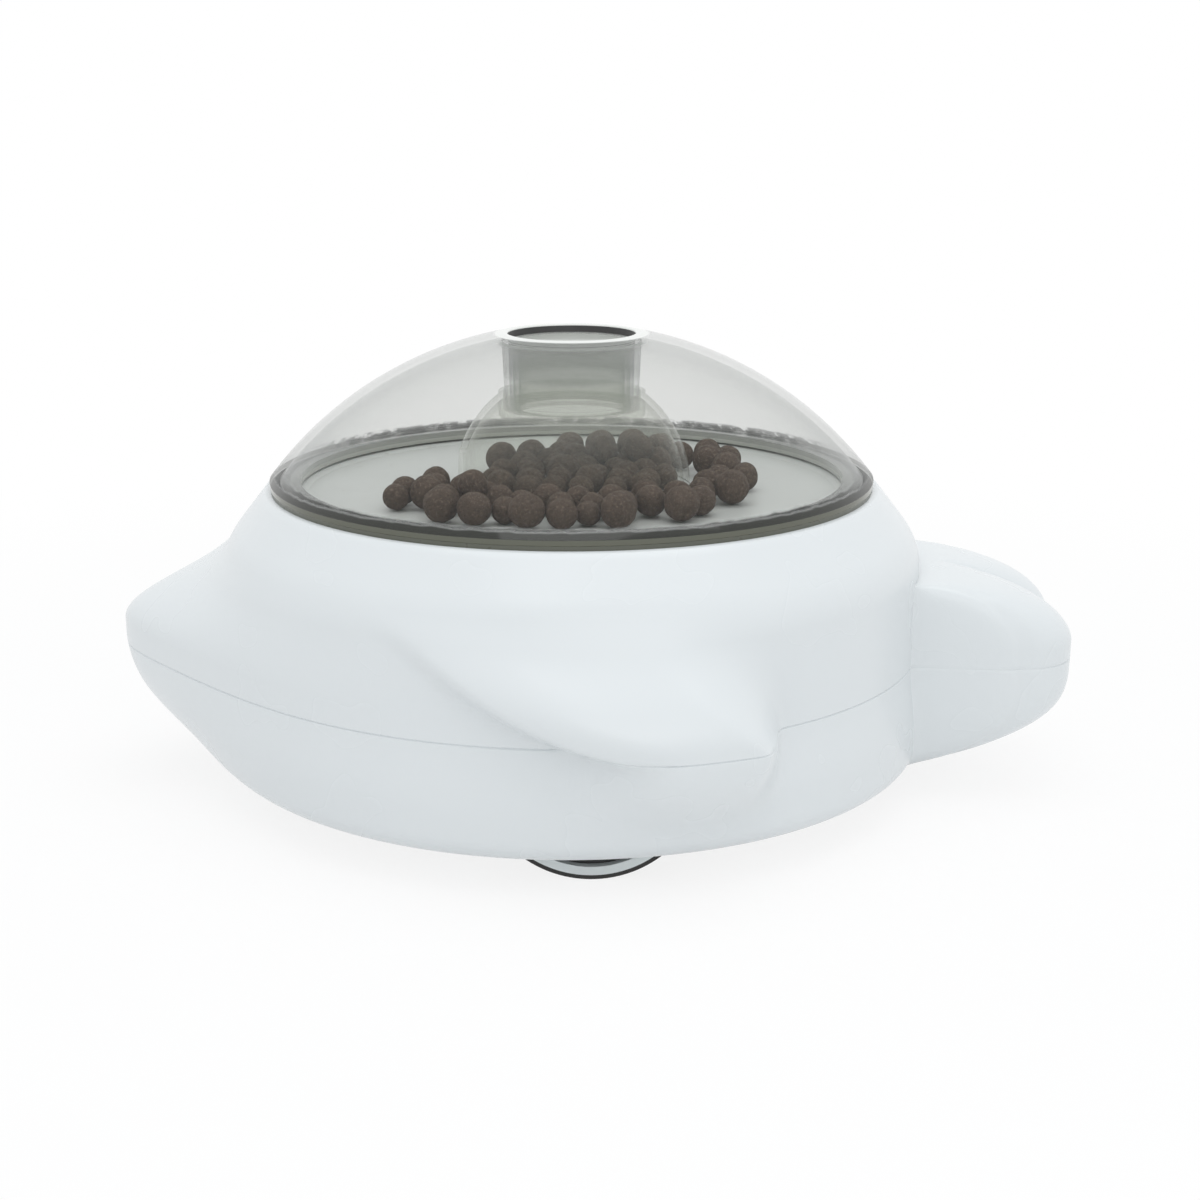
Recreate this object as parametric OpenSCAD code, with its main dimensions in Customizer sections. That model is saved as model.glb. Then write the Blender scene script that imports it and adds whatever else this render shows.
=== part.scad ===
// Fish-shaped push button treat dispenser on two wheels.
// X runs from the snout (-) to the tail (+), Z is up, and Z = 0 is the floor.
// The hopper, its dome, the button and the dosing plunger share one upright axis.

/* [Moulded body] */
// Reach of the snout from the hopper axis
snout_reach = 114; // [108:1:120]
// Reach of the tail from the hopper axis
tail_reach = 124; // [120:1:130]
// Radius of the round hull at the seam
hull_radius = 87; // [86.5:0.5:89]
// How much wider the lower hull is near its foot
foot_flare = 1.3; // [0:0.1:2]
// How far a flipper stands out of the hull
flipper_out = 13.8; // [6:0.2:15]
// Wall of both shells
shell_wall = 2.6; // [2:0.2:3.2]
// Height of the flat base over the floor
base_z = 8; // [7:0.5:9]
// Height of the seam between the shells
seam_z = 34.5; // [32:0.5:36]
// Rounding of the edge of the base
base_round = 5; // [4:0.5:6]

/* [Hopper and dome] */
// Height of the edge that carries the lid
rim_z = 75.2; // [74:0.2:77]
// Outer radius of the foot of the dome
dome_foot_r = 75; // [74.5:0.25:75.5]
// Height of the dome over the rim
dome_rise = 37.6; // [34:0.2:42]
// Wall of the dome
dome_wall = 2; // [1.6:0.2:2.4]
// Thickness of the flange at the foot of the dome
flange_t = 1.4; // [1:0.2:2]
// Thickness of the flat part of the seal
seal_t = 1; // [0.8:0.2:1.4]
// Depth of the tray's surface under the rim
tray_drop = 1.2; // [1:0.2:1.6]
// Thickness of the tray
tray_t = 2; // [1.6:0.2:2.4]

/* [Button and plunger] */
// Radius of the hole in the top of the dome
hole_r = 15.8; // [15.4:0.1:16.4]
// Length of the neck below the top of the dome
neck_len = 18.6; // [17:0.2:20]
// Radius of the button's skirt
button_r = 14.5; // [14:0.1:14.8]
// How far the button lies below the edge of its hole
button_recess = 2.2; // [1.8:0.1:2.8]
// Travel of the button and the plunger
press_travel = 11; // [8:0.5:11]
// Outer radius of the clear bell
bell_r = 29.7; // [28:0.1:31]
// Wall of the bell
bell_wall = 1.6; // [1.2:0.2:2]
// Width of the dosing pocket
pocket_w = 20; // [14:1:22]
// Diameter of the spring's wire
spring_wire = 1.4; // [1:0.1:1.6]
// Turns of the spring
spring_turns = 7.5; // [5.5:0.5:8]

/* [Wheels] */
// Radius over the tyres
wheel_r = 25; // [24:0.5:26]
// Width of a wheel
wheel_w = 6.5; // [5:0.5:7]
// How far the outer faces of the wheels lie inside the foot of the hull
wheel_inset = 12.3; // [12.3:0.2:13.3]
// Depth of the tyre's section
tyre_t = 0.95; // [0.8:0.05:1.6]
// Width of the pale rim band
rim_band = 2; // [1.5:0.1:3]
// Radius of the axle
axle_r = 3; // [2.5:0.1:3.2]

/* [Clearances] */
// Gap between parts that slide past each other
slide_gap = 0.5; // [0.4:0.05:0.6]
// Gap around a screw or bush in its hole
fit_gap = 0.05; // [0.02:0.01:0.08]
// Gap around the wheels in their wells
well_gap = 1; // [0.8:0.1:1.1]

/* [Hidden] */
$fn = 96;

white = [0.90, 0.93, 0.95];
smoke = [0.45, 0.47, 0.45, 0.45];
clear = [0.85, 0.87, 0.87, 0.4];
black = [0.07, 0.07, 0.07];
steel = [0.7, 0.7, 0.72];
kibble_brown = [0.36, 0.27, 0.22];

// The middle of the whole length is at X = 0, where the axle is.
axis_x = (snout_reach - tail_reach) / 2;

// ---- outer form of the body: radius over angle and height ----

// The shoulder carries on the slope of the dome down to the upright side of the hull
foot_radius = hull_radius + foot_flare;
wheel_face_y = foot_radius - wheel_inset;
rim_r = dome_foot_r + 1.3;
shoulder_h = 13.6;
shoulder_slope = (hull_radius - rim_r) / shoulder_h;
shoulder_z = rim_z - shoulder_h;
shoulder_soft = 5;
snout_mid_z = 37;
snout_top_z = 62.5;
snout_sharp = 6;
snout_fade = 17.5;
lobe_r = 14;
lobe_y = 14.5;
notch_depth = 12;
tail_top_z = 55;
tail_mid_z = 39;
tail_side_deg = 14.8;
tail_blend_deg = 3.6;
flipper_fade_z = 26;
flipper_deg = 74;
flipper_lead_deg = 36;
flipper_tip_deg = 56.5;
ledge_deg = 82;
ledge_span_deg = 27;
ledge_rise = 19;

function smooth(t) = t <= 0 ? 0 : t >= 1 ? 1 : t * t * (3 - 2 * t);

function soft_ramp(t, w) = t <= -w ? 0 : t >= w ? t : (t + w) * (t + w) / (4 * w);

function base_edge(z) =
    z >= base_z + base_round ? 0
    : base_round - sqrt(pow(base_round, 2) - pow(base_z + base_round - z, 2));

function hull_r(z) =
    z >= seam_z ? hull_radius - shoulder_slope * soft_ramp(z - shoulder_z, shoulder_soft)
    : hull_radius + (foot_radius - hull_radius) * smooth((seam_z - z) / 15) - base_edge(z);

function snout_share(z) =
    z >= snout_mid_z ? smooth((snout_top_z - z) / 21.5)
    : max(0, 1 - pow((snout_mid_z - z) / 29, 2) * 0.93);

function snout(a, z) =
    (snout_reach - hull_radius) * snout_share(z)
    * exp(-(sqrt(pow(180 - a, 2) + pow(snout_sharp, 2)) - snout_sharp) / snout_fade);

function tail_share(z) =
    z >= tail_top_z ? 0
    : z >= tail_mid_z ? pow(1 - pow((z - tail_mid_z) / (tail_top_z - tail_mid_z), 1.7), 0.52)
    : max(0, 1 - pow((tail_mid_z - z) / (tail_mid_z - base_z), 3.5));

// Reach of a rounded lobe along a ray at angle a, or 0 where the ray misses it
lobe_x = tail_reach - lobe_r;
function lobe_reach(a) =
    let (along = lobe_x * cos(a) + lobe_y * sin(a),
         rest = pow(lobe_r, 2) - pow(lobe_x, 2) - pow(lobe_y, 2) + pow(along, 2))
    rest <= 0 ? 0 : along + sqrt(rest);

function tail_plan(a) =
    max(tail_reach - notch_depth, lobe_reach(a)) - hull_radius;

function tail(a, z) =
    tail_share(z) * tail_plan(min(a, tail_side_deg))
    * (1 - smooth((a - tail_side_deg) / tail_blend_deg));

// Height of the ledge under the flipper, which climbs towards the snout
function flipper_ledge(a) = seam_z + 1 + ledge_rise * pow(max(0, a - ledge_deg) / ledge_span_deg, 1.5);

function flipper_share(a, z) =
    let (low = smooth((z - base_z - 5) / (seam_z - base_z - 5)),
         under = 1 - smooth((flipper_ledge(a) - z) / (4 + 0.15 * max(0, a - ledge_deg))))
    (1 - smooth((z - seam_z - 2) / flipper_fade_z))
    * (low + (under - low) * smooth((a - ledge_deg + 6) / 14));

function flipper(a, z) =
    flipper_out * flipper_share(a, z)
    * smooth((a - flipper_tip_deg) / (9 + 0.7 * max(0, z - seam_z)))
    * (1 - smooth((a - flipper_deg - 1.1 * max(0, z - seam_z)) / flipper_lead_deg));

function fold(a) = a > 180 ? 360 - a : a < 0 ? -a : a;

function body_r(angle, z) =
    let (a = fold(angle)) hull_r(z) + snout(a, z) + tail(a, z) + flipper(a, z);

// Inner skin: the wall inside the form, sideways, above and below
side_deg = 1.6;
function inner_r(a, z, dz) =
    min([for (d = [-side_deg, 0, side_deg]) min(body_r(a + d, z), body_r(a + d, z + dz))])
    - shell_wall;

half_angles = concat(
    [for (a = [0 : 1.6 : 19.2]) a], [for (a = [24 : 6 : 54]) a],
    [for (a = [57 : 3 : 111]) a], [for (a = [118 : 7 : 153]) a], [for (a = [159 : 3.5 : 180]) a]);
angles = concat(half_angles, [for (i = [len(half_angles) - 2 : -1 : 1]) 360 - half_angles[i]]);

function outer_ring(z) = [for (a = angles) body_r(a, z)];
function inner_ring(z, dz) = [for (a = angles) inner_r(a, z, dz)];
function round_ring(r) = [for (a = angles) r];

// Solid whose skin runs through rings of points: from a flat cap to a flat cap, or back to the first ring
module through_rings(heights, radii, capped) {
    n = len(angles);
    m = len(heights);
    points = [for (k = [0 : m - 1]) for (i = [0 : n - 1])
        [radii[k][i] * cos(angles[i]), radii[k][i] * sin(angles[i]), heights[k]]];
    skin = [for (k = [0 : capped ? m - 2 : m - 1]) for (i = [0 : n - 1])
        let (j = (i + 1) % n, near = k * n, far = ((k + 1) % m) * n)
        each [[near + i, far + i, near + j], [near + j, far + i, far + j]]];
    middles = [[0, 0, heights[0]], [0, 0, heights[m - 1]]];
    caps = [for (i = [0 : n - 1]) let (j = (i + 1) % n)
        each [[n * m, i, j], [n * m + 1, (m - 1) * n + j, (m - 1) * n + i]]];
    polyhedron(capped ? concat(points, middles) : points, capped ? concat(skin, caps) : skin);
}

function reversed(list) = [for (i = [len(list) - 1 : -1 : 0]) list[i]];

module on_axis() {
    translate([axis_x, 0, 0]) children();
}

module tube(z0, z1, r_out, r_in) {
    translate([0, 0, z0]) difference() {
        cylinder(h = z1 - z0, r = r_out);
        translate([0, 0, -1]) cylinder(h = z1 - z0 + 2, r = r_in);
    }
}

module across(y0, y1, r) {
    translate([0, y1, 0]) rotate([90, 0, 0]) cylinder(h = y1 - y0, r = r);
}

// ---- screws: head, shank and where they sit ----

head_r = 3;
head_h = 2;
shank_r = 1.5;
pillar_r = 4.6;
floor_z = base_z + shell_wall;
collar_in_r = dome_foot_r - 3.3;
shelf_in_r = collar_in_r - 7.7;
tray_screw_r = shelf_in_r + 3;
shell_screw_r = shelf_in_r + 2;
shell_screw_at = [for (a = [45 : 90 : 315]) [axis_x + shell_screw_r * cos(a), shell_screw_r * sin(a)]];
// Length of a cut that goes right through
through = 100;

module screw_up(z, length) {
    translate([0, 0, z]) cylinder(h = head_h, r = head_r);
    translate([0, 0, z + head_h]) cylinder(h = length, r = shank_r);
}

// ---- wheels and their wells ----

wheel_z = wheel_r;
well_r = wheel_r + well_gap;
well_wall = 2;
well_in_y = wheel_face_y - wheel_w - 1.5;
well_out_y = wheel_face_y + 1.5;
bearing_len = 9;
bearing_r = axle_r + 2;
bearing_in_y = well_in_y - bearing_len;
flange_w = 1;

module well_block() {
    intersection() {
        union() {
            translate([0, 0, wheel_z])
                across(well_in_y - well_wall, well_out_y + well_wall, well_r + well_wall);
            translate([-well_r - well_wall, well_in_y - well_wall, base_z])
                cube([2 * (well_r + well_wall), well_out_y - well_in_y + 2 * well_wall, wheel_z - base_z]);
        }
        on_axis() rotate_extrude() polygon([
            [0, base_z], [foot_radius - base_round - 0.6, base_z],
            [foot_radius - 1.4, base_z + base_round], [hull_radius - 1.2, seam_z],
            [hull_radius - shell_wall - 0.4, seam_z],
            [hull_radius - shell_wall - 0.4, 2 * wheel_r + 8], [0, 2 * wheel_r + 8]]);
    }
}

module well_cut() {
    translate([0, 0, wheel_z]) across(well_in_y, well_out_y, well_r);
}

module bearing_pillar() {
    translate([0, 0, wheel_z]) across(bearing_in_y, well_in_y, bearing_r + 3);
    translate([-bearing_r - 3, bearing_in_y, base_z]) cube([2 * (bearing_r + 3), bearing_len, wheel_z - base_z]);
}

// ---- chute: a trough from the sleeve's window down to the snout ----

sleeve_in_r = bell_r + slide_gap;
sleeve_out_r = sleeve_in_r + 2;
sleeve_screw_r = sleeve_out_r + 3.8;
pocket_floor_z = rim_z - 9.2;
window_z = pocket_floor_z - press_travel - 2;
window_h = press_travel + 1;
chute_w = pocket_w;
chute_wall = 1.6;
chute_h = 12;
chute_top = [-sleeve_out_r - 0.3, window_z];
chute_foot = [-95, 13.5];
chute_deg = atan2(chute_top[1] - chute_foot[1], chute_top[0] - chute_foot[0]);
chute_len = norm(chute_top - chute_foot);
ear_t = 2;
ear_x = -58;
ear_r = 4;
ear_y = chute_w / 2 + chute_wall + ear_r;
ear_screw_y = ear_y + 0.8;
ear_z = chute_foot[1] + (ear_x - chute_foot[0]) * tan(chute_deg) + 2;

// Prism along the fall of the chute, open to the sky or closed
module along_chute(width, from_h, to_h, extra) {
    translate([chute_foot[0], 0, chute_foot[1]]) rotate([0, -chute_deg, 0])
        translate([-extra, -width / 2, from_h]) cube([chute_len + 2 * extra, width, to_h - from_h]);
}

module drop_chute() {
    color(white) on_axis() difference() {
        union() {
            intersection() {
                difference() {
                    along_chute(chute_w + 2 * chute_wall, -chute_wall, chute_h, 20);
                    along_chute(chute_w, 0, chute_h + 1, 21);
                }
                translate([chute_foot[0], -50, 0]) cube([chute_top[0] - chute_foot[0], through, through]);
            }
            for (s = [-1, 1]) translate([ear_x - ear_r, s * ear_y - 4.8, ear_z]) cube([2 * ear_r, 9.6, ear_t]);
        }
        cylinder(h = through, r = sleeve_out_r + 0.3);
        along_chute(chute_w, 0, 40, 21);
        for (s = [-1, 1]) translate([ear_x, s * ear_screw_y, 0]) cylinder(h = through, r = shank_r + fit_gap);
    }
}

module chute_screws() {
    color(steel) on_axis() for (s = [-1, 1]) translate([ear_x, s * ear_screw_y, ear_z + ear_t + head_h])
        mirror([0, 0, 1]) screw_up(0, 8);
}

// ---- shells ----

tray_z = rim_z - tray_drop;
shelf_z = tray_z - tray_t;
shelf_t = 2;
lower_heights = [base_z, base_z + 0.5, base_z + 1.8, base_z + base_round, 16, 20, 24.5, 29, seam_z];
upper_heights = [seam_z, 37, 40, 43, 46, 48.5, 50.5, 52.3, 53.7, 54.6, tail_top_z,
    58, 60.5, 63, 66, 70.5, rim_z];
lower_in_heights = [seam_z, 29, 24.5, 20, 16, base_z + base_round, floor_z];
upper_in_heights = concat([shelf_z - shelf_t],
    reversed([for (z = upper_heights) if (z < shelf_z - shelf_t - 2) z]));
outlet_h = chute_h + 1;

module lower_shell() {
    color(white) difference() {
        union() {
            on_axis() through_rings(
                concat(lower_heights, lower_in_heights),
                concat([for (z = lower_heights) outer_ring(z)],
                    [for (z = lower_in_heights) inner_ring(z, -shell_wall)]), true);
            for (s = [0, 1]) mirror([0, s, 0]) {
                well_block();
                bearing_pillar();
            }
            for (p = shell_screw_at) translate([p[0], p[1], base_z]) cylinder(h = seam_z - base_z, r = pillar_r);
            on_axis() for (s = [-1, 1]) translate([ear_x, s * ear_screw_y, base_z])
                cylinder(h = ear_z - base_z, r = 3.6);
        }
        for (s = [0, 1]) mirror([0, s, 0]) {
            well_cut();
            translate([0, 0, wheel_z]) across(bearing_in_y - 1, well_in_y + 1, bearing_r + fit_gap);
        }
        for (p = shell_screw_at) translate([p[0], p[1], base_z - 1]) {
            cylinder(h = through, r = shank_r + 0.2);
            cylinder(h = head_h + 2.5, r = head_r + 0.3);
        }
        on_axis() for (s = [-1, 1]) translate([ear_x, s * ear_screw_y, ear_z - 9])
            cylinder(h = 10, r = shank_r + fit_gap);
        on_axis() intersection() {
            along_chute(chute_w + 2 * chute_wall + 0.6, -chute_wall - 0.3, outlet_h, 40);
            translate([-130, -50, 0]) cube([138 + chute_foot[0], through, 60]);
        }
    }
}

module upper_shell() {
    color(white) difference() {
        union() {
            on_axis() through_rings(
                concat(upper_heights, [rim_z, shelf_z - shelf_t], upper_in_heights),
                concat([for (z = upper_heights) outer_ring(z)],
                    [round_ring(shelf_in_r - 4), round_ring(shelf_in_r - 4)],
                    [for (z = upper_in_heights) inner_ring(z, shell_wall)]), false);
            for (p = shell_screw_at) translate([p[0], p[1], seam_z])
                cylinder(h = shelf_z - seam_z - 1, r = pillar_r);
        }
        for (p = shell_screw_at) translate([p[0], p[1], seam_z - 1]) cylinder(h = 9, r = shank_r + fit_gap);
        on_axis() translate([0, 0, shelf_z - shelf_t - 1]) cylinder(h = through, r = shelf_in_r);
        on_axis() translate([0, 0, shelf_z]) cylinder(h = through, r = collar_in_r);
        on_axis() for (a = [0 : 90 : 270]) rotate(a) translate([tray_screw_r, 0, shelf_z - shelf_t - 1])
            cylinder(h = 10, r = shank_r + 0.2);
    }
}

module shell_screws() {
    color(steel) for (p = shell_screw_at) translate([p[0], p[1], 0])
        screw_up(base_z + 1.5, seam_z - base_z + 2.5);
}

module tray_screws() {
    color(steel) on_axis() for (a = [0 : 90 : 270]) rotate(a) translate([tray_screw_r, 0, 0])
        screw_up(shelf_z - shelf_t - head_h, 3.2);
}

// ---- tray, sleeve ----

tray_r = collar_in_r - 2.5;
sleeve_top_z = tray_z - tray_t;
sleeve_floor_z = 36;
boss_r = 8;
stem_w = 7;

module hopper_tray() {
    color([0.8, 0.81, 0.8]) on_axis() difference() {
        rotate_extrude() polygon([
            [sleeve_in_r, sleeve_top_z], [tray_r, sleeve_top_z], [tray_r, tray_z + 0.6],
            [tray_r - 1.4, tray_z + 0.6], [tray_r - 3.4, tray_z], [sleeve_in_r, tray_z]]);
        for (a = [0 : 90 : 270]) rotate(a) translate([tray_screw_r, 0, sleeve_top_z - 1])
            cylinder(h = 2.3, r = shank_r + fit_gap);
        for (a = [60 : 120 : 300]) rotate(a) translate([sleeve_screw_r, 0, sleeve_top_z - 1])
            cylinder(h = 2.3, r = shank_r + fit_gap);
    }
}

module guide_sleeve() {
    color(white) on_axis() difference() {
        union() {
            tube(sleeve_floor_z, sleeve_top_z, sleeve_out_r, sleeve_in_r);
            tube(sleeve_top_z - 2, sleeve_top_z, sleeve_screw_r + 4, sleeve_in_r);
            translate([0, 0, sleeve_floor_z]) cylinder(h = 2, r = sleeve_out_r);
            translate([0, 0, sleeve_floor_z]) cylinder(h = 9, r = boss_r);
        }
        translate([-stem_w / 2 - 0.2, -stem_w / 2 - 0.2, 0]) cube([stem_w + 0.4, stem_w + 0.4, through]);
        translate([-sleeve_out_r - 1, -chute_w / 2, window_z]) cube([sleeve_out_r, chute_w, window_h]);
        for (a = [60 : 120 : 300]) rotate(a) translate([sleeve_screw_r, 0, 0])
            cylinder(h = through, r = shank_r + 0.2);
    }
}

module sleeve_screws() {
    color(steel) on_axis() for (a = [60 : 120 : 300]) rotate(a) translate([sleeve_screw_r, 0, 0])
        screw_up(sleeve_top_z - 2 - head_h, 3.2);
}

// ---- glides and bearings ----

glide_x = 62;

module glide() {
    rotate_extrude() polygon(concat(
        [[0, 0], [3, 0]],
        [for (a = [15 : 15 : 90]) [3 + 4 * sin(a), 4 * (1 - cos(a))]],
        [[7, base_z], [0, base_z]]));
}

module front_glide() {
    color(black) translate([-glide_x, 0, 0]) glide();
}

module rear_glide() {
    color(black) translate([glide_x, 0, 0]) glide();
}

module bearing() {
    translate([0, 0, wheel_z]) difference() {
        union() {
            across(bearing_in_y, well_in_y, bearing_r);
            across(well_in_y, well_in_y + flange_w, bearing_r + 1.5);
        }
        across(bearing_in_y - 1, well_in_y + 2, axle_r + fit_gap);
    }
}

module left_bearing() {
    color([0.85, 0.83, 0.75]) mirror([0, 1, 0]) bearing();
}

module right_bearing() {
    color([0.85, 0.83, 0.75]) bearing();
}

// ---- dome with its neck, seal, ring and button ----

top_z = rim_z + dome_rise;
foot_z = rim_z + seal_t + flange_t;
dome_h = top_z - foot_z;
dome_drop = (pow(dome_foot_r, 2) - pow(hole_r + 1.5, 2) - pow(dome_h, 2)) / (2 * dome_h);
dome_r = sqrt(pow(dome_drop, 2) + pow(dome_foot_r, 2));
dome_mid_z = foot_z - dome_drop;
flange_in_r = dome_foot_r - 7.5;
neck_top_r = hole_r + 1.6;
neck_foot_r = neck_top_r - 0.8;
neck_foot_z = top_z - neck_len;
bore_r = hole_r - 0.1;
bore_foot_r = hole_r - 0.45;
lip_r = button_r + 0.3;
dome_inner_foot_r = sqrt(pow(dome_r - dome_wall, 2) - pow(dome_drop, 2));

function arc_points(radius, r0, r1, steps) =
    let (a0 = acos(r0 / radius), a1 = acos(r1 / radius))
    [for (i = [0 : steps]) let (a = a0 + (a1 - a0) * i / steps)
        [radius * cos(a), dome_mid_z + radius * sin(a)]];

module dome_lid() {
    color(smoke) on_axis() rotate_extrude($fn = 144) polygon(concat(
        [[flange_in_r, rim_z + seal_t], [dome_foot_r, rim_z + seal_t]],
        arc_points(dome_r, dome_foot_r, hole_r + 1.5, 26),
        [[hole_r, top_z], [hole_r, top_z - ring_h], [bore_r - 0.05, top_z - ring_h],
         [bore_foot_r, neck_foot_z + 1], [lip_r, neck_foot_z + 1], [lip_r, neck_foot_z],
         [neck_foot_r, neck_foot_z]],
        arc_points(dome_r - dome_wall, neck_top_r - 0.1, dome_inner_foot_r, 26),
        [[flange_in_r, foot_z]]));
}

seal_skirt_r = collar_in_r - slide_gap;

module lid_seal() {
    color(black) on_axis() rotate_extrude() polygon([
        [flange_in_r, rim_z], [seal_skirt_r - 1.4, rim_z], [seal_skirt_r - 1.4, shelf_z + 0.3],
        [seal_skirt_r, shelf_z + 0.3], [seal_skirt_r, rim_z], [dome_foot_r - 0.2, rim_z],
        [dome_foot_r - 0.2, rim_z + seal_t], [flange_in_r, rim_z + seal_t]]);
}

ring_h = 1.8;
button_top_z = top_z - button_recess;
cap_r = hole_r - 0.8;

module neck_ring() {
    color(black) on_axis() tube(top_z - ring_h, top_z, hole_r - fit_gap, cap_r - 0.4);
}

button_foot_z = neck_foot_z - 0.2;

module push_button() {
    color(clear) on_axis() difference() {
        union() {
            translate([0, 0, button_foot_z]) cylinder(h = button_top_z - button_foot_z, r = button_r);
            translate([0, 0, button_top_z - 2]) cylinder(h = 1.4, r = cap_r);
            translate([0, 0, button_top_z - 0.6]) cylinder(h = 0.6, r1 = cap_r, r2 = cap_r - 0.6);
        }
        translate([0, 0, button_foot_z - 1]) cylinder(h = button_top_z - button_foot_z - 0.8, r = button_r - 1.4);
    }
}

// ---- plunger: bell, dosing ring, stem, spring ----

ledge_z = button_foot_z;
ledge_in_r = button_r - 1.4;
ledge_t = 1.5;
collar_r = neck_foot_r + slide_gap;
bell_top_z = tray_z + sqrt(pow(bell_r, 2) - pow(collar_r, 2));

module inner_bell() {
    color(clear) on_axis() difference() {
        union() {
            difference() {
                intersection() {
                    translate([0, 0, tray_z]) sphere(r = bell_r);
                    translate([0, 0, tray_z]) cylinder(h = bell_top_z - tray_z, r = bell_r);
                }
                translate([0, 0, tray_z]) sphere(r = bell_r - bell_wall);
            }
            tube(ledge_z - ledge_t, bell_top_z, collar_r + 1.2, collar_r);
            tube(ledge_z - ledge_t, ledge_z, collar_r + 1.2, ledge_in_r);
        }
        translate([0, 0, ledge_z]) cylinder(h = through, r = collar_r);
        translate([-bell_r - 1, 0, tray_z]) intersection() {
            rotate([0, 90, 0]) cylinder(h = 14, r = pocket_w / 2);
            translate([0, -pocket_w / 2, -1]) cube([14, pocket_w, 10]);
        }
    }
}

plate_t = 1.8;
ring_foot_z = rim_z - 17.2;
hub_r = 9;
pocket_in_x = 17;

module dosing_ring() {
    color(white) on_axis() difference() {
        union() {
            difference() {
                translate([0, 0, ring_foot_z]) cylinder(h = tray_z - ring_foot_z, r = bell_r);
                translate([0, 0, ring_foot_z - 1])
                    cylinder(h = tray_z - plate_t - ring_foot_z + 1, r = bell_r - 2);
            }
            translate([0, 0, ring_foot_z]) cylinder(h = tray_z - ring_foot_z, r = hub_r);
            intersection() {
                translate([0, 0, ring_foot_z]) cylinder(h = tray_z - ring_foot_z, r = bell_r);
                translate([-bell_r, -pocket_w / 2 - 1.5, pocket_floor_z - 3])
                    cube([bell_r - pocket_in_x + 1.5, pocket_w + 3, tray_z - pocket_floor_z + 3]);
            }
        }
        translate([-bell_r - 1, -pocket_w / 2, pocket_floor_z]) cube([bell_r - pocket_in_x + 1, pocket_w, 20]);
        cylinder(h = through, r = shank_r + 0.2);
        translate([0, 0, tray_z - 4]) cylinder(h = 5, r = head_r + 0.3);
    }
}

stem_foot_z = sleeve_floor_z + 5.5;

module plunger_stem() {
    color(white) on_axis() difference() {
        translate([-stem_w / 2, -stem_w / 2, stem_foot_z]) cube([stem_w, stem_w, ring_foot_z - stem_foot_z]);
        translate([0, 0, ring_foot_z - 9]) cylinder(h = 10, r = shank_r + fit_gap);
    }
}

module stem_screw() {
    color(steel) on_axis() translate([0, 0, tray_z - 4 + head_h]) mirror([0, 0, 1])
        screw_up(0, tray_z - 4 - ring_foot_z + 8);
}

spring_r = boss_r + 1.4 + spring_wire / 2;
spring_z0 = sleeve_floor_z + 2;
spring_z1 = tray_z - plate_t;
ring_steps = 14;
wire_sides = 6;

// Unbroken tube along a list of points
module sweep(path, r, sides) {
    n = len(path);
    rings = [for (i = [0 : n - 1])
        let (t0 = path[min(i + 1, n - 1)] - path[max(i - 1, 0)],
             t = t0 / norm(t0),
             side = cross(t, [0, 0, 1]) / norm(cross(t, [0, 0, 1])),
             up = cross(side, t))
        [for (k = [0 : sides - 1]) path[i] + r * (cos(360 * k / sides) * side + sin(360 * k / sides) * up)]];
    polyhedron([for (ring = rings) each ring], concat(
        [[for (k = [0 : sides - 1]) k]],
        [[for (k = [sides - 1 : -1 : 0]) (n - 1) * sides + k]],
        [for (i = [0 : n - 2]) for (k = [0 : sides - 1]) let (j = (k + 1) % sides)
            each [[i * sides + k, (i + 1) * sides + k, i * sides + j],
                  [i * sides + j, (i + 1) * sides + k, (i + 1) * sides + j]]]));
}

spring_lift = spring_z1 - spring_z0 - spring_wire - 0.2;
spring_path = [for (i = [0 : spring_turns * ring_steps]) let (t = i / ring_steps)
    [spring_r * cos(360 * t), spring_r * sin(360 * t),
     spring_z0 + spring_wire / 2 + 0.1 + spring_lift * t / spring_turns]];

module return_spring() {
    color(steel) on_axis() sweep(spring_path, spring_wire / 2, wire_sides);
}

echo(spring_gap = min([for (i = [0 : len(spring_path) - ring_steps - 1])
    norm(spring_path[i + ring_steps] - spring_path[i])]) - spring_wire);

// ---- axle and wheels ----

axle_end_y = wheel_face_y - 3;
clip_t = 0.8;
clip_y = bearing_in_y - 0.3 - clip_t;
rim_out_r = wheel_r - tyre_t;
rim_in_r = rim_out_r - rim_band;

module axle() {
    color(steel) translate([0, 0, wheel_z]) difference() {
        across(-axle_end_y, axle_end_y, axle_r);
        for (s = [0, 1]) mirror([0, s, 0]) difference() {
            across(clip_y - 0.05, clip_y + clip_t + 0.05, axle_r + 1);
            across(clip_y - 1, clip_y + clip_t + 1, axle_r - 0.6);
        }
    }
}

module axle_clips() {
    color(steel) for (s = [0, 1]) mirror([0, s, 0]) translate([0, 0, wheel_z]) difference() {
        across(clip_y, clip_y + clip_t, axle_r + 2.4);
        across(clip_y - 1, clip_y + clip_t + 1, axle_r - 0.6 + fit_gap);
        translate([-axle_r + 0.6, clip_y - 1, -20]) cube([2 * (axle_r - 0.6), clip_t + 2, 20]);
    }
}

module wheel() {
    wheel_in_y = wheel_face_y - wheel_w;
    translate([0, 0, wheel_z]) difference() {
        across(wheel_in_y, wheel_face_y, rim_out_r);
        across(wheel_face_y - 2.6, wheel_face_y + 1, rim_in_r);
        across(wheel_in_y - 1, axle_end_y + 0.05, axle_r + fit_gap);
        for (a = [0 : 60 : 300]) rotate([0, a, 0]) translate([13, 0, 0])
            across(wheel_in_y - 1, wheel_in_y + 2, 4);
    }
}

module tyre() {
    wheel_in_y = wheel_face_y - wheel_w;
    translate([0, 0, wheel_z]) difference() {
        across(wheel_in_y, wheel_face_y, wheel_r);
        across(wheel_in_y - 1, wheel_face_y + 1, rim_out_r);
    }
}

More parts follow.
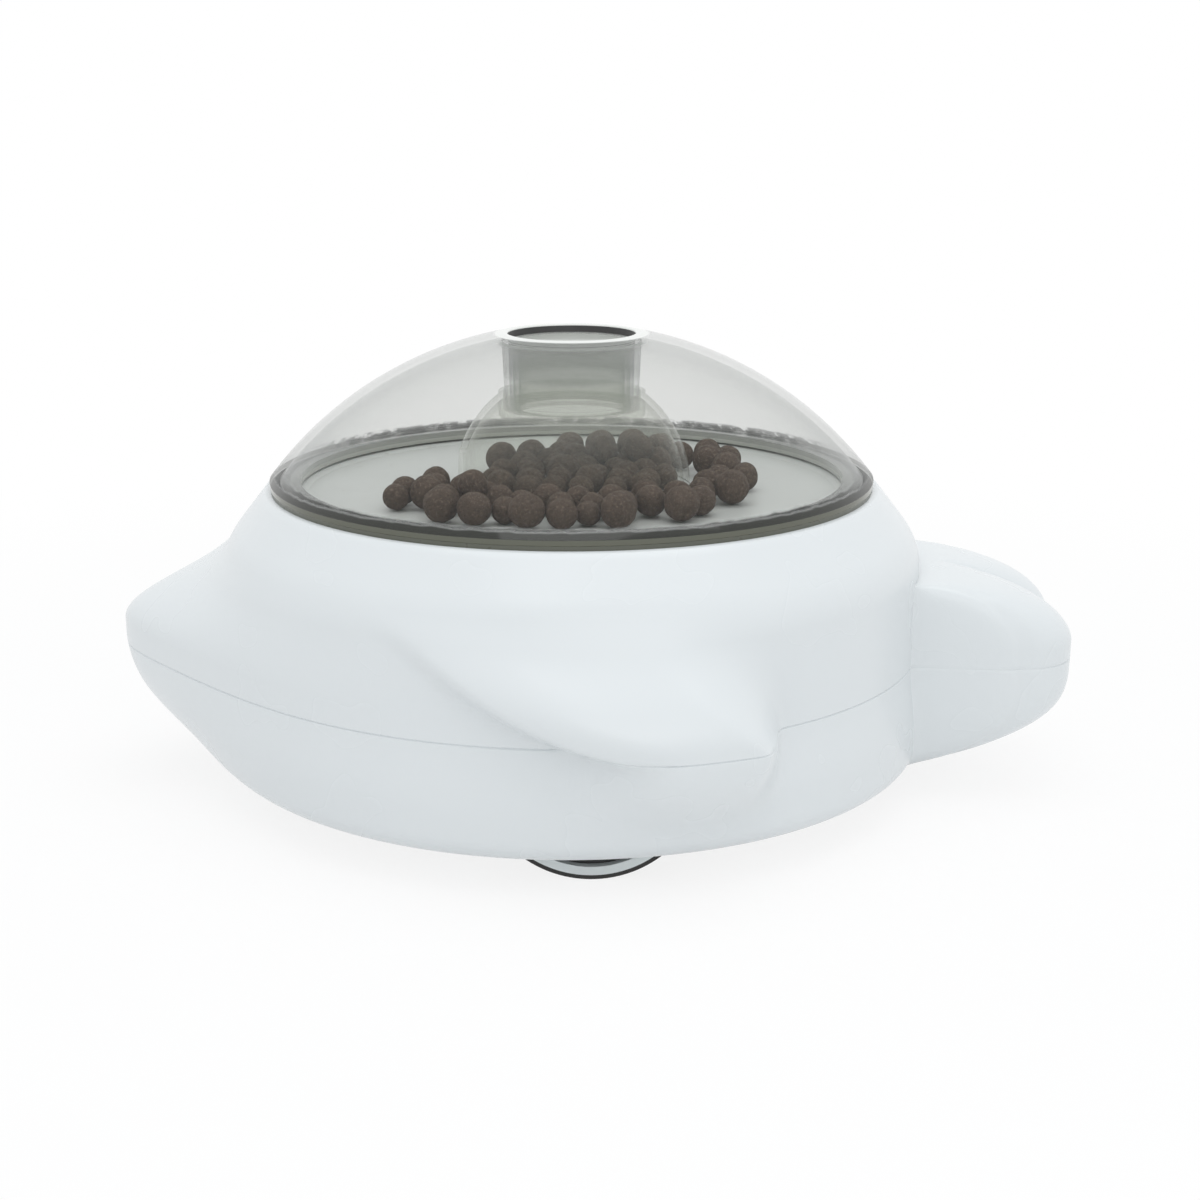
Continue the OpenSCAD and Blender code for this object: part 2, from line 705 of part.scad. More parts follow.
module hub_cap() {
    translate([0, wheel_face_y - 2.6, wheel_z]) rotate([-90, 0, 0]) rotate_extrude()
        polygon([[0, 0], [rim_in_r - 0.1, 0], [rim_in_r - 0.1, 0.8], [8, 1.4], [7, 2.2], [0, 2.2]]);
}

module left_wheel() {
    color(white) mirror([0, 1, 0]) wheel();
}

module right_wheel() {
    color(white) wheel();
}

module left_tyre() {
    color(black) mirror([0, 1, 0]) tyre();
}

module right_tyre() {
    color(black) tyre();
}

module left_hub_cap() {
    color([0.2, 0.2, 0.2]) mirror([0, 1, 0]) hub_cap();
}

module right_hub_cap() {
    color([0.2, 0.2, 0.2]) hub_cap();
}

// ---- kibble: round pieces of mixed size, heaped on the tray and under the bell ----

kibble_r = 4.15;
kibble_spread = 0.7;
kibble_step = 2 * kibble_r + 0.25;
ring_1_r = bell_r + kibble_r + 0.5;
ring_2_r = ring_1_r + kibble_step + 0.05;
heap_front_y = -36.5;
piece_gap = 0.3;

function piece_r(i) = kibble_r - kibble_spread * abs(sin(i * 97));

// Angle between neighbours on a ring of pieces
function step_deg(r) = 2 * asin(kibble_step / (2 * r));

// Places and numbers of the pieces on a ring; a ring stops at the front edge of the heap
function ring_of_pieces(r, from_deg, to_deg, first) =
    [for (i = [0 : floor((to_deg - from_deg) / step_deg(r))]) let (a = from_deg + i * step_deg(r))
        if (r * sin(a) > heap_front_y) [r * cos(a), r * sin(a), first + i]];

tray_pieces = concat(ring_of_pieces(ring_1_r, -152, 92, 0), ring_of_pieces(ring_2_r, -154, 66, 20));
raised_pieces = ring_of_pieces((ring_1_r + ring_2_r) / 2, -151, -124, 50);

// How high the middle of a raised piece rests over the tray
function rest_h(p) = max([for (q = tray_pieces)
    let (reach = piece_r(p[2]) + piece_r(q[2]) + piece_gap, flat = norm([p[0] - q[0], p[1] - q[1]]))
    if (flat < reach) piece_r(q[2]) + sqrt(reach * reach - flat * flat)]);

module kibble(p, h) {
    translate([p[0], p[1], tray_z + h]) sphere(r = piece_r(p[2]), $fn = 24);
}

module treats() {
    color(kibble_brown) on_axis() {
        for (p = tray_pieces) kibble(p, piece_r(p[2]));
        for (p = raised_pieces) kibble(p, rest_h(p));
    }
}

module bell_treats() {
    room_r = bell_r - bell_wall - kibble_r - piece_gap;
    color(kibble_brown) on_axis() for (j = [-3 : 3]) for (i = [-3 : 3])
        let (x = (i + (j % 2 == 0 ? 0 : 0.5)) * kibble_step, y = j * kibble_step * sqrt(3) / 2)
            if (norm([x, y]) < room_r && x > kibble_r + 1 - pocket_in_x)
                kibble([x, y, i + 7 * j], piece_r(i + 7 * j));
}

lower_shell();
upper_shell();
hopper_tray();
guide_sleeve();
drop_chute();
shell_screws();
tray_screws();
sleeve_screws();
chute_screws();
front_glide();
rear_glide();
left_bearing();
right_bearing();
treats();
dome_lid();
lid_seal();
neck_ring();
push_button();
inner_bell();
dosing_ring();
plunger_stem();
stem_screw();
bell_treats();
return_spring();
axle();
left_wheel();
right_wheel();
left_tyre();
right_tyre();
left_hub_cap();
right_hub_cap();
axle_clips();
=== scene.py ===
import math
import random

import bmesh
import bpy
from mathutils import Matrix, Vector, noise


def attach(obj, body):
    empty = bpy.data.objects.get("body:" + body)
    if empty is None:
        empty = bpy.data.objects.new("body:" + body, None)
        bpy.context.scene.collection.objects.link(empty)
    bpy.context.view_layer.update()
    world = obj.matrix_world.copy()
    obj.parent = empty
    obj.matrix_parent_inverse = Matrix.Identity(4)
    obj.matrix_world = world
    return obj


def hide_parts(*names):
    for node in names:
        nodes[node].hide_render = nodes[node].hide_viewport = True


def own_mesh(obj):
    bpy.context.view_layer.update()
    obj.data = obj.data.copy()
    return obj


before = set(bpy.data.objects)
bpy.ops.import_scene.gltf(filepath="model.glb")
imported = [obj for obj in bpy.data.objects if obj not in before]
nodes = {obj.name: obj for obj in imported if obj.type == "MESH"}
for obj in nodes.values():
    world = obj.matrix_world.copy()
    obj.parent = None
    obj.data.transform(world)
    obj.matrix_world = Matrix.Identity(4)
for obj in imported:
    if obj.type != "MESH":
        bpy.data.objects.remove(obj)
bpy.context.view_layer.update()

# ---- Photographer's table -------------------------------------------------------------
# A white table in an even light tent, seen from a little above, at the height and distance
# that the ellipses of the dome's foot and of its hole give.

camera_place = (0.002, -0.486, 0.1746)
camera_down_deg = 15.0
lens_mm = 59.1

camera = bpy.data.objects.new("camera", bpy.data.cameras.new("camera"))
camera.data.lens = lens_mm
camera.data.sensor_width = 36.0
camera.data.clip_start = 0.01
camera.location = camera_place
camera.rotation_euler = (math.radians(90.0 - camera_down_deg), 0.0, 0.0)
bpy.context.scene.collection.objects.link(camera)
bpy.context.scene.camera = camera
bpy.context.scene.view_settings.view_transform = "Standard"
# A look through the dome, the neck and the button crosses more than a dozen clear surfaces.
bpy.context.scene.cycles.transparent_max_bounces = 32


class Value:
    """A socket of a material's nodes, with the operators that its maths uses."""

    def __init__(self, finish, socket):
        self.finish = finish
        self.socket = socket

    def __add__(self, other):
        return self.finish.math("ADD", self, other)

    __radd__ = __add__

    def __mul__(self, other):
        return self.finish.math("MULTIPLY", self, other)

    __rmul__ = __mul__

    def __pow__(self, other):
        return self.finish.math("POWER", self, other)


class Finish:
    """A material in the making: node() adds any node by its type, its settings and its sockets."""

    def __init__(self, name):
        self.material = bpy.data.materials.new(name)
        self.material.use_nodes = True
        self.tree = self.material.node_tree
        self.tree.nodes.clear()
        self.output = self.tree.nodes.new("ShaderNodeOutputMaterial")

    def node(self, kind, settings=None, sockets=None, out=0):
        made = self.tree.nodes.new("ShaderNode" + kind)
        for name, value in (settings or {}).items():
            setattr(made, name, value)
        for name, value in (sockets or {}).items():
            found = [s for s in made.inputs if name in (s.identifier, s.name)]
            socket = made.inputs[name] if isinstance(name, int) else found[0]
            self.put(socket, value)
        return Value(self, made.outputs[out] if isinstance(out, int) else self.named(made, out))

    def named(self, made, name):
        return next(s for s in made.outputs if name in (s.identifier, s.name))

    def put(self, socket, value):
        if isinstance(value, Value):
            self.tree.links.new(value.socket, socket)
        elif socket.type == "RGBA" and len(value) == 3:
            socket.default_value = (*value, 1.0)
        else:
            socket.default_value = value

    def math(self, operation, a, b):
        return self.node("Math", {"operation": operation}, {0: a, 1: b})

    def mix(self, share, a, b):
        return self.node("Mix", {"data_type": "RGBA"},
                         {"Factor_Float": share, "A_Color": a, "B_Color": b}, "Result_Color")

    def place(self, scale=1000.0, stretch=(1.0, 1.0, 1.0)):
        """Where a point lies on the object, in millimetres at the usual scale."""
        raw = self.node("TexCoord", out="Object")
        return self.node("VectorMath", {"operation": "MULTIPLY"},
                         {0: raw, 1: tuple(scale * s for s in stretch)})

    def grain(self, size_mm, detail=2.0, rough=0.5, stretch=(1.0, 1.0, 1.0)):
        """Noise from 0 to 1, whose patches are about size_mm wide."""
        return self.node("TexNoise", None, {
            "Vector": self.place(1000.0 / size_mm, stretch), "Scale": 1.0,
            "Detail": detail, "Roughness": rough}, "Fac")

    def band(self, value, low, high):
        """0 below low, 1 above high, and a soft step between them."""
        return self.node("MapRange", {"interpolation_type": "SMOOTHSTEP"}, {
            "Value": value, "From Min": low, "From Max": high, "To Min": 0.0, "To Max": 1.0}, "Result")

    def across(self):
        """Distance from the middle plane in millimetres, below 0 on the near side."""
        return self.node("SeparateXYZ", None, {"Vector": self.place(1000.0)}, "Y")

    def off_axis(self):
        """Distance from the upright axis of the dome, in millimetres."""
        flat = self.node("VectorMath", {"operation": "MULTIPLY"}, {0: self.place(), 1: (1.0, 1.0, 0.0)})
        return self.node("VectorMath", {"operation": "DISTANCE"}, {0: flat, 1: (-5.0, 0.0, 0.0)}, "Value")

    def height(self):
        return self.node("VectorMath", {"operation": "DOT_PRODUCT"}, {0: self.place(), 1: (0.0, 0.0, 1.0)}, "Value")

    def bump(self, height, depth_mm):
        return self.node("Bump", None, {"Height": height, "Strength": 1.0,
                                        "Distance": depth_mm * 0.001}, "Normal")

    def shell(self, sockets):
        """The finish of a solid surface, by the names of its sockets."""
        made = self.node("BsdfPrincipled", None, sockets)
        self.tree.links.new(made.socket, self.output.inputs["Surface"])
        return self

    def clear(self, tint, shine, share):
        """A thin clear wall: tint is what it lets through, shine its reflection, share how much of it shows."""
        through = self.node("BsdfTransparent", None, {"Color": tint})
        made = self.node("MixShader", None, {0: share, 1: through, 2: shine})
        self.tree.links.new(made.socket, self.output.inputs["Surface"])
        return self


def dress(name, finish):
    """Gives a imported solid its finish."""
    for slot in nodes[name].material_slots:
        slot.material = finish.material


floor_half = 6.0
floor_mesh = bpy.data.meshes.new("table_top")
floor_mesh.from_pydata([(x * floor_half, y * floor_half, 0.0) for x, y in
                        ((-1, -1), (1, -1), (1, 1), (-1, 1))], [], [(0, 1, 2, 3)])
floor = bpy.data.objects.new("table_top", floor_mesh)
bpy.context.scene.collection.objects.link(floor)

# The table shows as white paper, with the object's shadow kept faint.
paper = Finish("paper")
seen = paper.node("LightPath", out="Is Camera Ray")
mirrored = paper.node("LightPath", out="Is Glossy Ray")
through_clear = paper.node("LightPath", out="Is Transmission Ray")
grit = paper.grain(30.0, 3.0)
away = paper.band(paper.node("VectorMath", {"operation": "LENGTH"}, {0: paper.place()}, "Value"), 170.0, 420.0)
lit = paper.node("BsdfDiffuse", None, {
    "Color": paper.mix(grit, (0.87, 0.87, 0.87), (0.90, 0.90, 0.90))})
glow = paper.node("Emission", None, {"Color": (1.0, 1.0, 1.0), "Strength": 1.0})
shown = paper.node("MixShader", None, {
    0: paper.math("MAXIMUM", paper.math("MAXIMUM", seen, mirrored), through_clear) * (away * 0.15 + 0.85),
    1: lit, 2: glow})
paper.tree.links.new(shown.socket, paper.output.inputs["Surface"])
floor_mesh.materials.append(paper.material)

tent_light = 0.82
world = bpy.data.worlds.new("tent")
world.use_nodes = True
bpy.context.scene.world = world
tent = world.node_tree
tent.nodes.clear()
tent_out = tent.nodes.new("ShaderNodeOutputWorld")
tent_path = tent.nodes.new("ShaderNodeLightPath")
tent_seen = tent.nodes.new("ShaderNodeMath")
tent_seen.operation = "MAXIMUM"
tent.links.new(tent_path.outputs["Is Camera Ray"], tent_seen.inputs[0])
tent_mirrored = tent.nodes.new("ShaderNodeMath")
tent_mirrored.operation = "MAXIMUM"
tent.links.new(tent_path.outputs["Is Transmission Ray"], tent_mirrored.inputs[0])
tent.links.new(tent_path.outputs["Is Glossy Ray"], tent_mirrored.inputs[1])
tent.links.new(tent_mirrored.outputs[0], tent_seen.inputs[1])
tent_mix = tent.nodes.new("ShaderNodeMixShader")
tent_lamp = tent.nodes.new("ShaderNodeBackground")
tent_lamp.inputs["Color"].default_value = (0.97, 0.985, 1.0, 1.0)
tent_lamp.inputs["Strength"].default_value = tent_light
tent_white = tent.nodes.new("ShaderNodeBackground")
tent_white.inputs["Color"].default_value = (1.0, 1.0, 1.0, 1.0)
tent.links.new(tent_seen.outputs[0], tent_mix.inputs[0])
tent.links.new(tent_lamp.outputs[0], tent_mix.inputs[1])
tent.links.new(tent_white.outputs[0], tent_mix.inputs[2])
tent.links.new(tent_mix.outputs[0], tent_out.inputs["Surface"])


def lamp(name, place, target, size, power):
    data = bpy.data.lights.new(name, "AREA")
    data.shape = "RECTANGLE"
    data.size, data.size_y = size
    data.energy = power
    made = bpy.data.objects.new(name, data)
    made.location = place
    made.rotation_euler = (Vector(target) - Vector(place)).to_track_quat("-Z", "Y").to_euler()
    bpy.context.scene.collection.objects.link(made)


lamp("top_softbox", (0.05, -0.1, 0.85), (0.0, 0.0, 0.05), (0.9, 0.7), 2.3)
lamp("front_softbox", (0.25, -0.95, 0.55), (0.0, 0.0, 0.04), (0.8, 0.5), 0.9)

# ---- Lower and upper shell ------------------------------------------------------------
# Two injection moulded shells of glossy, faintly bluish white ABS, joined on a level seam by
# four screws from below. Snout, tail and flippers are drawn out of the same round wall.

MM = 0.001
snout_reach, tail_reach = 114.0, 124.0
hull_radius, foot_radius = 87.0, 88.3
rim_r, shoulder_h, shoulder_soft = 76.3, 13.6, 5.0
tail_mid_z, tail_top_z, tail_side_deg, tail_blend_deg = 39, 55.0, 14.8, 3.6
flipper_out, flipper_lead_deg, flipper_deg, flipper_tip_deg = 13.8, 36, 74, 56.5
ledge_deg, ledge_span_deg, ledge_rise = 82, 27, 19
shell_wall = 2.6
base_z, seam_z, rim_z, base_round = 8.0, 34.5, 75.2, 5.0
axis_x = (snout_reach - tail_reach) / 2
collar_in_r, shelf_in_r, shelf_t = 71.7, 64.0, 2.0
tray_z = rim_z - 1.2
shelf_z = tray_z - 2.0


def smooth(t):
    t = min(max(t, 0.0), 1.0)
    return t * t * (3 - 2 * t)


def soft_ramp(t, w):
    return 0.0 if t <= -w else t if t >= w else (t + w) ** 2 / (4 * w)


def hull_r(z):
    if z >= seam_z:
        slope = (hull_radius - rim_r) / shoulder_h
        return hull_radius - slope * soft_ramp(z - (rim_z - shoulder_h), shoulder_soft)
    up = base_z + base_round - z
    edge = base_round - math.sqrt(base_round ** 2 - min(up, base_round) ** 2) if up > 0 else 0.0
    return hull_radius + (foot_radius - hull_radius) * smooth((seam_z - z) / 15) - edge


def snout(a, z):
    share = smooth((62.5 - z) / 21.5) if z >= 37 else max(0.0, 1 - ((37 - z) / 29) ** 2 * 0.93)
    return (snout_reach - hull_radius) * share * math.exp(-(math.hypot(180 - a, 6) - 6) / 17.5)


def tail_plan(a):
    lobe_r, lobe_y, lobe_x = 14.0, 14.5, tail_reach - 14.0
    along = lobe_x * math.cos(math.radians(a)) + lobe_y * math.sin(math.radians(a))
    rest = lobe_r ** 2 - lobe_x ** 2 - lobe_y ** 2 + along ** 2
    return max(tail_reach - 12, along + math.sqrt(rest) if rest > 0 else 0.0) - hull_radius


def tail(a, z):
    if z >= tail_mid_z:
        up = (min(z, tail_top_z) - tail_mid_z) / (tail_top_z - tail_mid_z)
        share = (1 - up ** 1.7) ** 0.44
    else:
        share = max(0.0, 1 - max(0.0, (tail_mid_z - z) / (tail_mid_z - base_z)) ** 3.5)
    return share * tail_plan(min(a, tail_side_deg)) * (1 - smooth((a - tail_side_deg) / tail_blend_deg))


def flipper(a, z):
    up, past = max(0.0, z - seam_z), max(0.0, a - ledge_deg)
    low = smooth((z - base_z - 5) / (seam_z - base_z - 5))
    ledge_z = seam_z + 1 + ledge_rise * (past / ledge_span_deg) ** 1.5
    under = 1 - smooth((ledge_z - z) / (4 + 0.15 * past))
    share = (1 - smooth((z - seam_z - 2) / 26)) * (low + (under - low) * smooth((a - 76) / 14))
    lead = 1 - smooth((a - flipper_deg - 1.1 * up) / flipper_lead_deg)
    return flipper_out * share * smooth((a - flipper_tip_deg) / (9 + 0.7 * up)) * lead


def body_r(angle, z):
    a = 360 - angle if angle > 180 else abs(angle)
    return hull_r(z) + snout(a, z) + tail(a, z) + flipper(a, z)


def inner_r(angle, z, dz):
    return min(min(body_r(angle + d, z), body_r(angle + d, z + dz)) for d in (-1.6, 0.0, 1.6)) - shell_wall


shell_angles = sorted({*[i * 0.75 for i in range(480)], *[i * 0.375 for i in range(60)],
                       *[360 - i * 0.375 for i in range(1, 60)]})


def piece(name, mesh, body, slot, finish, *stands_for, sharp_deg=38.0):
    """Puts a mesh in the scene as a piece of the object."""
    mesh.polygons.foreach_set("use_smooth", [True] * len(mesh.polygons))
    mesh.set_sharp_from_angle(angle=math.radians(sharp_deg))
    made = bpy.data.objects.new(name, mesh)
    bpy.context.scene.collection.objects.link(made)
    mesh.materials.clear()
    mesh.materials.append(finish.material)
    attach(made, body)
    if stands_for:
        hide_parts(*stands_for)
    return made


def through_rings(name, rings, capped):
    """A closed skin through rings of (height, radius for each angle), as in the solids."""
    n, m = len(shell_angles), len(rings)
    points = []
    for z, radii in rings:
        for a, r in zip(shell_angles, radii):
            turn = math.radians(a)
            points.append(((axis_x + r * math.cos(turn)) * MM, r * math.sin(turn) * MM, z * MM))
    faces = []
    for k in range(m - 1 if capped else m):
        near, far = k * n, ((k + 1) % m) * n
        for i in range(n):
            j = (i + 1) % n
            faces.append((near + i, near + j, far + j, far + i))
    if capped:
        faces.append(tuple(range(n - 1, -1, -1)))
        faces.append(tuple((m - 1) * n + i for i in range(n)))
    mesh = bpy.data.meshes.new(name)
    mesh.from_pydata(points, [], faces)
    return mesh


def rod(start, end, radius, steps=64):
    """A cylinder between two points, in millimetres."""
    start, end = Vector(start), Vector(end)
    form = bmesh.new()
    turn = (end - start).to_track_quat("Z", "Y").to_matrix().to_4x4()
    bmesh.ops.create_cone(form, cap_ends=True, segments=steps, radius1=radius, radius2=radius,
                          depth=(end - start).length,
                          matrix=Matrix.Translation((start + end) / 2) @ turn)
    return form


def block(low, high):
    form = bmesh.new()
    size = [h - l for l, h in zip(low, high)]
    middle = [(h + l) / 2 for l, h in zip(low, high)]
    bmesh.ops.create_cube(form, size=1.0, matrix=Matrix.Translation(middle) @ Matrix.Diagonal((*size, 1.0)))
    return form


def turned(profile, steps=192):
    """A closed profile of (radius, height) turned about the dome's upright axis."""
    form = bmesh.new()
    rows = []
    for r, z in profile:
        if r < 1e-6:
            rows.append([form.verts.new((axis_x, 0.0, z))] * steps)
        else:
            turns = [2 * math.pi * i / steps for i in range(steps)]
            rows.append([form.verts.new((axis_x + r * math.cos(t), r * math.sin(t), z)) for t in turns])
    for a, b in zip(rows, rows[1:] + rows[:1]):
        for i in range(steps):
            j = (i + 1) % steps
            corners = list(dict.fromkeys((a[i], a[j], b[j], b[i])))
            if len(corners) > 2:
                form.faces.new(corners)
    bmesh.ops.recalc_face_normals(form, faces=form.faces)
    return form


def as_mesh(name, form):
    """A mesh in metres from a form in millimetres."""
    mesh = bpy.data.meshes.new(name)
    bmesh.ops.scale(form, vec=(MM, MM, MM), verts=form.verts)
    form.to_mesh(mesh)
    form.free()
    return mesh


def carve(mesh, *steps):
    """Joins or cuts forms, one after another, as ("UNION" or "DIFFERENCE", form)."""
    for operation, form in steps:
        work = bpy.data.objects.new("work", mesh)
        tool = bpy.data.objects.new("tool", as_mesh("tool", form))
        for o in (work, tool):
            bpy.context.scene.collection.objects.link(o)
        change = work.modifiers.new("change", "BOOLEAN")
        change.operation = operation
        change.solver = "MANIFOLD"
        change.object = tool
        mesh = bpy.data.meshes.new_from_object(work.evaluated_get(bpy.context.evaluated_depsgraph_get()))
        for o in (work, tool):
            bpy.data.objects.remove(o)
    return mesh


def mirrored_y(make):
    """The form and its mirror image in the middle plane, in one."""
    form = make()
    twin = form.copy()
    bmesh.ops.scale(twin, vec=(1.0, -1.0, 1.0), verts=twin.verts)
    bmesh.ops.reverse_faces(twin, faces=twin.faces)
    spare = bpy.data.meshes.new("spare")
    twin.to_mesh(spare)
    twin.free()
    form.from_mesh(spare)
    return form


white = Finish("white_shell")
cloud = white.grain(35.0, 2.0)
specks = white.band(white.grain(1.1, 3.0, 0.7), 0.72, 0.78)
handled = white.grain(24.0, 2.0, 0.5)
white_colour = white.mix(cloud, (0.715, 0.750, 0.764), (0.735, 0.770, 0.784))
white_colour = white.mix(specks * 0.12, white_colour, (0.60, 0.62, 0.62))
white.shell({
    "Base Color": white_colour,
    "Roughness": 0.25 + handled * 0.04,
    "IOR": 1.50,
    "Normal": white.bump(white.grain(0.35, 2.0, 0.6), 0.006),
})

groove = 0.3
edge_turns = [90 * i / 10 for i in range(11)]
lower_heights = [base_z + base_round * (1 - math.cos(math.radians(t))) for t in edge_turns]
lower_heights += [14 + i * 1.25 for i in range(16)] + [33.6, seam_z - groove]
lower_rings = [(z, [body_r(a, z) for a in shell_angles]) for z in lower_heights]
lower_rings.append((seam_z, [body_r(a, seam_z) - groove for a in shell_angles]))
lower_rings += [(z, [inner_r(a, z, -shell_wall) for a in shell_angles])
                for z in (seam_z, 31.5, 29.0, 26.5, 24.5, 22.0, 20.0, 16.0, 13.0, base_z + shell_wall)]
lower_mesh = through_rings("lower_shell_form", lower_rings, True)

wheel_r, wheel_w, wheel_face_y = 25.0, 6.5, 76.0
wheel_z = wheel_r
well_r, well_wall = wheel_r + 1.0, 2.0
well_in_y, well_out_y = wheel_face_y - wheel_w - 1.5, wheel_face_y + 1.5
bearing_in_y, bearing_r = well_in_y - 9.0, 5.0
screw_ring_r = 66
screw_places = [(axis_x + screw_ring_r * math.cos(math.radians(a)), screw_ring_r * math.sin(math.radians(a)))
                for a in (45, 135, 225, 315)]


def well_block():
    drum = as_mesh("drum", rod((0, well_in_y - well_wall, wheel_z), (0, well_out_y + well_wall, wheel_z),
                               well_r + well_wall, steps=128))
    box = block((-well_r - well_wall, well_in_y - well_wall, base_z),
                (well_r + well_wall, well_out_y + well_wall, wheel_z))
    inside_r = hull_radius - shell_wall - 0.4
    limit = turned([(0, base_z), (foot_radius - base_round - 0.6, base_z), (foot_radius - 1.4, base_z + base_round),
                    (hull_radius - 1.2, seam_z), (inside_r, seam_z), (inside_r, 2 * wheel_r + 8),
                    (0, 2 * wheel_r + 8)])
    mesh = carve(drum, ("UNION", box), ("INTERSECT", limit))
    form = bmesh.new()
    form.from_mesh(mesh)
    bmesh.ops.scale(form, vec=(1 / MM, 1 / MM, 1 / MM), verts=form.verts)
    return form


lower_steps = [("UNION", mirrored_y(well_block))]
for part in (lambda: rod((0, bearing_in_y, wheel_z), (0, well_in_y + 0.5, wheel_z), bearing_r + 3),
             lambda: block((-bearing_r - 3, bearing_in_y, base_z + 1), (bearing_r + 3, well_in_y + 0.5, wheel_z))):
    lower_steps.append(("UNION", mirrored_y(part)))
for x, y in screw_places:
    lower_steps.append(("UNION", rod((x, y, base_z + 1), (x, y, seam_z), 4.6)))
ear_x, ear_y = -58.0, 15.6 + 0.8
chute_foot, chute_top = (-95.0, 13.5), (-32.5, 53.0)
chute_deg = math.degrees(math.atan2(chute_top[1] - chute_foot[1], chute_top[0] - chute_foot[0]))
ear_z = chute_foot[1] + (ear_x - chute_foot[0]) * math.tan(math.radians(chute_deg)) + 2
for s in (-1, 1):
    lower_steps.append(("UNION", rod((axis_x + ear_x, s * ear_y, base_z + 1),
                                     (axis_x + ear_x, s * ear_y, ear_z), 3.6)))
for part in (lambda: rod((0, well_in_y, wheel_z), (0, well_out_y, wheel_z), well_r, steps=128),
             lambda: rod((0, bearing_in_y - 1, wheel_z), (0, well_in_y + 1, wheel_z), bearing_r + 0.05)):
    lower_steps.append(("DIFFERENCE", mirrored_y(part)))
for x, y in screw_places:
    lower_steps.append(("DIFFERENCE", rod((x, y, base_z - 1), (x, y, seam_z + 1), 1.7)))
    lower_steps.append(("DIFFERENCE", rod((x, y, base_z - 1), (x, y, base_z + 3.5), 3.3)))
outlet = block((-40, -11.9, -1.9), (12, 11.9, 13.0))
outlet_place = Matrix.Translation((axis_x + chute_foot[0], 0, chute_foot[1]))
bmesh.ops.transform(outlet, verts=outlet.verts,
                    matrix=outlet_place @ Matrix.Rotation(-math.radians(chute_deg), 4, "Y"))
lower_steps.append(("DIFFERENCE", outlet))
piece("lower_shell_moulding", carve(lower_mesh, *lower_steps), "root", "white_shell", white, "lower_shell")

upper_heights = sorted({seam_z + groove, *[35.5 + i * 0.75 for i in range(52)], 53.8, 54.2, 54.5, 54.7, 54.85,
                        54.95, 54.99, 55.0, rim_z - 0.4})
upper_rings = [(seam_z, [body_r(a, seam_z) - groove for a in shell_angles])]
upper_rings += [(z, [body_r(a, z) for a in shell_angles]) for z in upper_heights]
rim_rings = [(rim_z, body_r(90, rim_z) - 0.3), (rim_z, collar_in_r + 0.2), (rim_z - 0.2, collar_in_r),
             (shelf_z, collar_in_r), (shelf_z, shelf_in_r), (shelf_z - shelf_t, shelf_in_r)]
upper_rings += [(z, [r] * len(shell_angles)) for z, r in rim_rings]
upper_rings += [(z, [inner_r(a, z, shell_wall) for a in shell_angles])
                for z in (shelf_z - shelf_t, 66.0, 63.0, 60.5, 58.0, 55.0, 54.6, 53.7, 52.3, 50.5, 48.5, 46.0,
                          43.0, 40.0, 37.0, seam_z)]
upper_steps = [("UNION", rod((x, y, seam_z), (x, y, shelf_z - 1), 4.6)) for x, y in screw_places]
upper_steps += [("DIFFERENCE", rod((x, y, seam_z - 1), (x, y, seam_z + 8), 1.55)) for x, y in screw_places]
upper_mesh = through_rings("upper_shell_form", upper_rings, False)
piece("upper_shell_moulding", carve(upper_mesh, *upper_steps), "root", "white_shell", white, "upper_shell")

# ---- Hopper tray, chute and guide sleeve ----------------------------------------------
# Moulded inner parts: a satin pale grey tray on the shelf of the upper shell, a sleeve that
# hangs below it and guides the plunger, and a trough that leads treats to the snout.

tray = Finish("pale_tray")
dust = tray.band(tray.grain(2.2, 4.0, 0.7), 0.60, 0.72)
tray_colour = tray.mix(tray.grain(25.0), (0.60, 0.62, 0.60), (0.66, 0.68, 0.66))
tray.shell({
    "Base Color": tray.mix(dust * 0.35, tray_colour, (0.33, 0.27, 0.22)),
    "Roughness": 0.34 + tray.grain(3.0, 3.0) * 0.14,
    "Normal": tray.bump(tray.grain(0.6, 3.0, 0.6), 0.02),
})
dress("hopper_tray", tray)

inner = Finish("inner_plastic")
inner.shell({
    "Base Color": inner.mix(inner.grain(12.0), (0.74, 0.76, 0.76), (0.80, 0.82, 0.82)),
    "Roughness": 0.42 + inner.grain(2.0, 3.0) * 0.16,
    "Normal": inner.bump(inner.grain(0.5, 2.0, 0.6), 0.02),
})
for name in ("guide_sleeve", "drop_chute", "dosing_ring", "plunger_stem"):
    dress(name, inner)

# ---- Screws, springs, axle: bright metal ----------------------------------------------
# Zinc plated screws, a spring of drawn wire and a ground axle, each with its own lay marks.


def metal(name, colour, rough, stretch):
    made = Finish(name)
    lay = made.grain(0.8, 3.0, 0.7, stretch)
    made.shell({
        "Base Color": made.mix(made.grain(4.0), colour, tuple(c * 0.86 for c in colour)),
        "Metallic": 1.0,
        "Roughness": rough + lay * 0.15,
        "Normal": made.bump(lay, 0.01),
    })
    return made


screw_steel = metal("screw_steel", (0.62, 0.63, 0.64), 0.26, (1.0, 1.0, 0.2))
for name in ("shell_screws", "tray_screws", "sleeve_screws", "chute_screws", "stem_screw"):
    dress(name, screw_steel)
axle_steel = metal("axle_steel", (0.60, 0.60, 0.61), 0.20, (1.0, 0.05, 1.0))
dress("axle", axle_steel)
spring_steel = metal("spring_steel", (0.55, 0.55, 0.56), 0.24, (1.0, 1.0, 1.0))
dress("axle_clips", spring_steel)

spring_r, spring_wire, spring_turns = 10.1, 1.4, 7.5
spring_low, spring_high = 38.0, tray_z - 1.8


